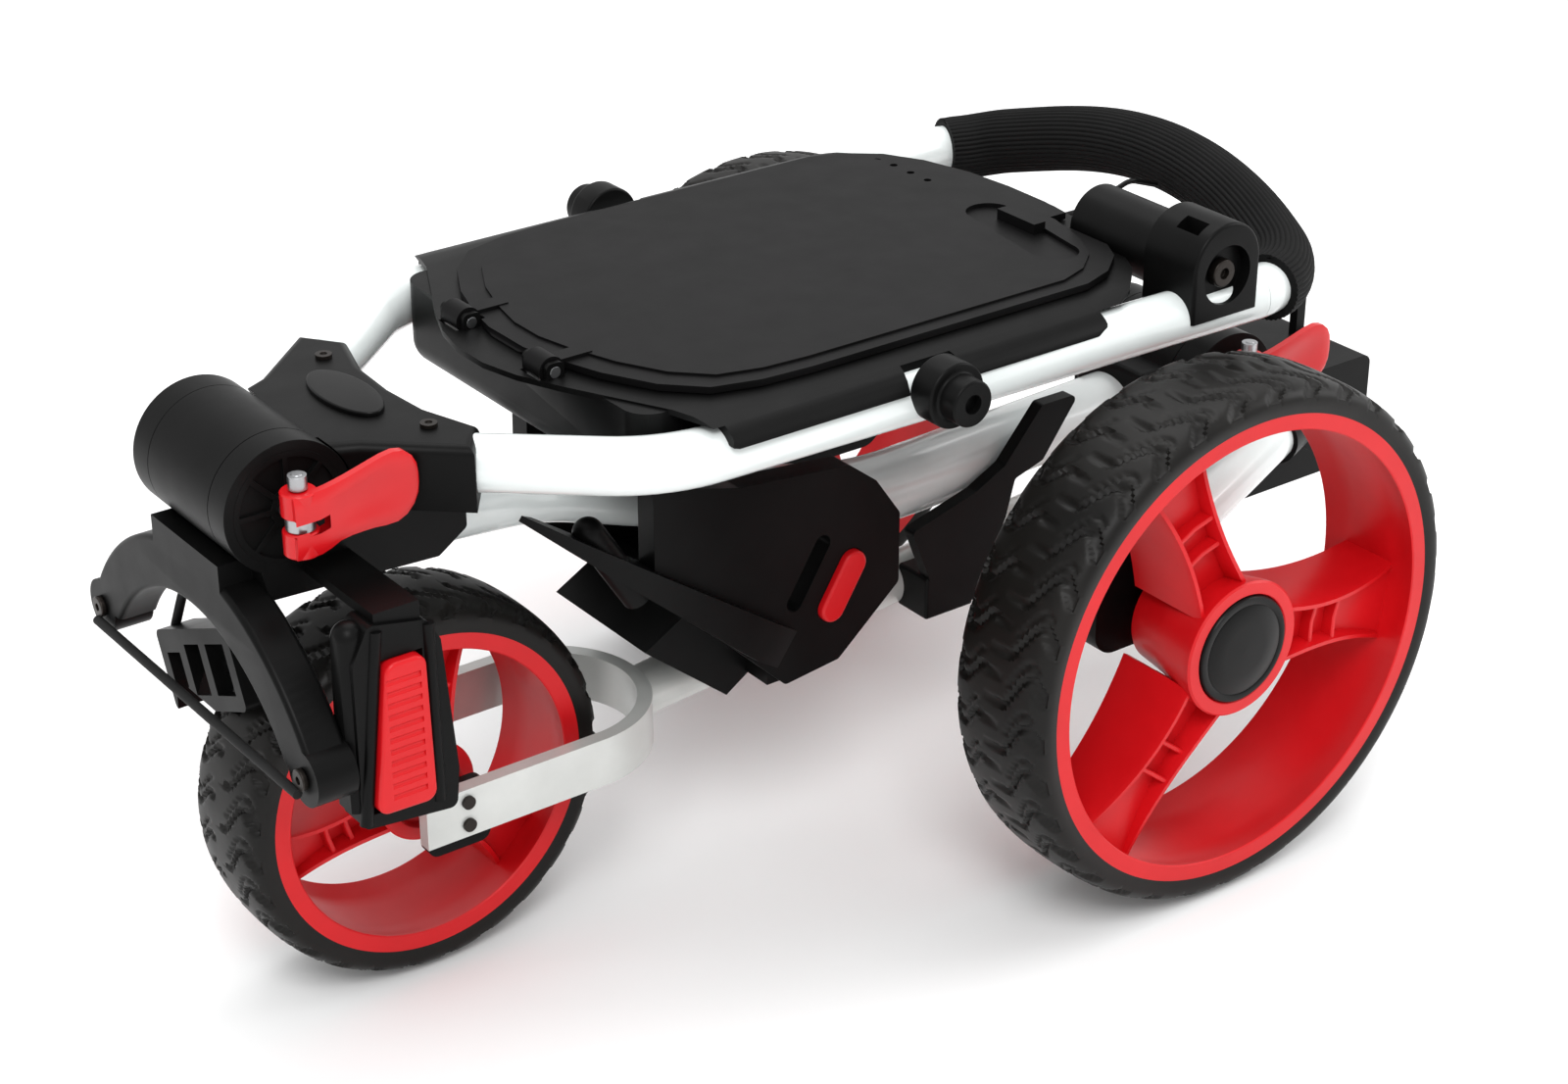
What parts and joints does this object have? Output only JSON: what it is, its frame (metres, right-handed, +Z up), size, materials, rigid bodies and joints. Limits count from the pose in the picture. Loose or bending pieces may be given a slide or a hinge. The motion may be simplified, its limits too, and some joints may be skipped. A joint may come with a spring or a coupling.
{
  "type": "golf push trolley",
  "caption": "Folded golf push trolley: white tube handle, lidded console, red rims with foam tyres, cam levers and bag cradles.",
  "frame": {"origin": "on the floor under the middle of the folded trolley's bounding box", "axes": "+X from the small front wheel towards the handle grip and rear hub, +Y to the trolley's left, +Z up"},
  "size_m": [0.7555, 0.446, 0.35],
  "materials": {
    "red_plastic": "moulded rims, levers and press buttons, satin gloss",
    "tyre_foam": "airless foam tyre with shallow wavy grooves",
    "white_tube": "gloss white paint on aluminium tube",
    "silver_bar": "pale silver paint on a flat bar",
    "black_plastic": "charcoal moulding with a fine grain",
    "black_knuckle": "black coated aluminium casting",
    "grip_foam": "soft grip with fine lengthwise ribs",
    "lid_plastic": "matt grained lid",
    "steel": "bright zinc steel",
    "dark_screw": "blackened screws",
    "elastic": "braided elastic cord",
    "cap_plastic": "plain gloss caps"
  },
  "bodies": {
    "lower_frame": {"fork_bow": "silver_bar", "fork_dropouts": "black_knuckle", "front_axle": "steel", "front_tube": "silver_bar", "fork_screws": "dark_screw", "rear_hub": "black_knuckle", "hub_pin": "steel", "leg_pin": "steel", "hub_lever_pin": "steel", "hub_pull_rod": "steel", "lower_cradle": "black_plastic", "lower_buckle": "black_plastic", "latch_plate": "black_plastic"},
    "spine": {"spine_tube": "white_tube", "spine_knuckle": "black_plastic", "barrel_block": "black_plastic", "barrel_caps": "black_plastic", "barrel_pin": "steel", "upper_cradle": "black_plastic", "cradle_screws": "dark_screw", "upper_buckle": "black_plastic", "far_buckle": "black_plastic", "arm_cord": "elastic", "buckle_cord": "elastic", "fold_lever_pin": "steel", "fold_pull_rod": "steel"},
    "handle": {"yoke": "black_plastic", "yoke_badge": "cap_plastic", "yoke_screws": "dark_screw", "right_side_tube": "white_tube", "left_side_tube": "white_tube", "handle_bow": "white_tube", "foam_grip": "grip_foam", "console_tray": "black_plastic", "lid_hinge_pins": "steel", "accessory_bracket": "black_plastic", "bracket_screw": "dark_screw", "side_knobs": "black_plastic", "grip_cable": "black_plastic"},
    "lid": {"console_lid": "lid_plastic"},
    "fold_lever": {"fold_lever": "red_plastic"},
    "hub_lever": {"hub_lever": "red_plastic"},
    "right_leg": {"right_leg_tube": "white_tube", "right_leg_knuckle": "black_plastic", "right_axle_block": "black_plastic", "right_axle": "steel"},
    "left_leg": {"left_leg_tube": "white_tube", "left_leg_knuckle": "black_plastic", "left_axle_block": "black_plastic", "left_axle": "steel"},
    "right_wheel": {"right_wheel_tyre": "tyre_foam", "right_wheel_rim": "red_plastic", "right_wheel_cap": "cap_plastic"},
    "left_wheel": {"left_wheel_tyre": "tyre_foam", "left_wheel_rim": "red_plastic", "left_wheel_cap": "cap_plastic"},
    "front_wheel": {"front_wheel_tyre": "tyre_foam", "front_wheel_rim": "red_plastic"},
    "upper_button": {"upper_button": "red_plastic"},
    "lower_button": {"lower_button": "red_plastic"}
  },
  "joints": [
    {"name": "spine_fold", "type": "hinge", "parent": "lower_frame", "child": "spine", "pos_m": [0.2595, 0, 0.192], "axis": [0, 1, 0], "range_deg": [0, 90]},
    {"name": "handle_fold", "type": "hinge", "parent": "spine", "child": "handle", "pos_m": [-0.3395, 0, 0.2915], "axis": [0, -1, 0], "range_deg": [0, 155]},
    {"name": "lid_hinge", "type": "hinge", "parent": "handle", "child": "lid", "pos_m": [-0.1955, 0, 0.322], "axis": [0, -1, 0], "range_deg": [0, 100]},
    {"name": "fold_lever_swing", "type": "hinge", "parent": "spine", "child": "fold_lever", "pos_m": [-0.3425, -0.0625, 0.292], "axis": [0, 0, -1], "range_deg": [0, 110]},
    {"name": "hub_lever_swing", "type": "hinge", "parent": "lower_frame", "child": "hub_lever", "pos_m": [0.2575, -0.064, 0.204], "axis": [0, 0, -1], "range_deg": [0, 110]},
    {"name": "right_leg_fold", "type": "hinge", "parent": "lower_frame", "child": "right_leg", "pos_m": [0.3065, -0.065, 0.172], "axis": [0, -1, 0], "range_deg": [0, 121.3]},
    {"name": "left_leg_fold", "type": "hinge", "parent": "lower_frame", "child": "left_leg", "pos_m": [0.3065, 0.065, 0.172], "axis": [0, -1, 0], "range_deg": [0, 121.3]},
    {"name": "right_wheel_spin", "type": "hinge", "parent": "right_leg", "child": "right_wheel", "pos_m": [0.1095, -0.1895, 0.146], "axis": [0, 1, 0], "continuous": true},
    {"name": "left_wheel_spin", "type": "hinge", "parent": "left_leg", "child": "left_wheel", "pos_m": [0.1095, 0.1895, 0.146], "axis": [0, 1, 0], "continuous": true},
    {"name": "front_wheel_spin", "type": "hinge", "parent": "lower_frame", "child": "front_wheel", "pos_m": [-0.2658, 0, 0.1034], "axis": [0, 1, 0], "continuous": true},
    {"name": "upper_button_press", "type": "slide", "parent": "spine", "child": "upper_button", "axis": [0, 1, 0], "range_m": [0, 0.004], "stiffness_N_per_m": 600, "springref_m": -0.002},
    {"name": "lower_button_press", "type": "slide", "parent": "lower_frame", "child": "lower_button", "axis": [0, 1, 0], "range_m": [0, 0.004], "stiffness_N_per_m": 600, "springref_m": -0.002}
  ],
  "couplings": [
    {"joint": "right_leg_fold", "follows": "spine_fold", "ratio": 1.3488},
    {"joint": "left_leg_fold", "follows": "spine_fold", "ratio": 1.3488}
  ]
}
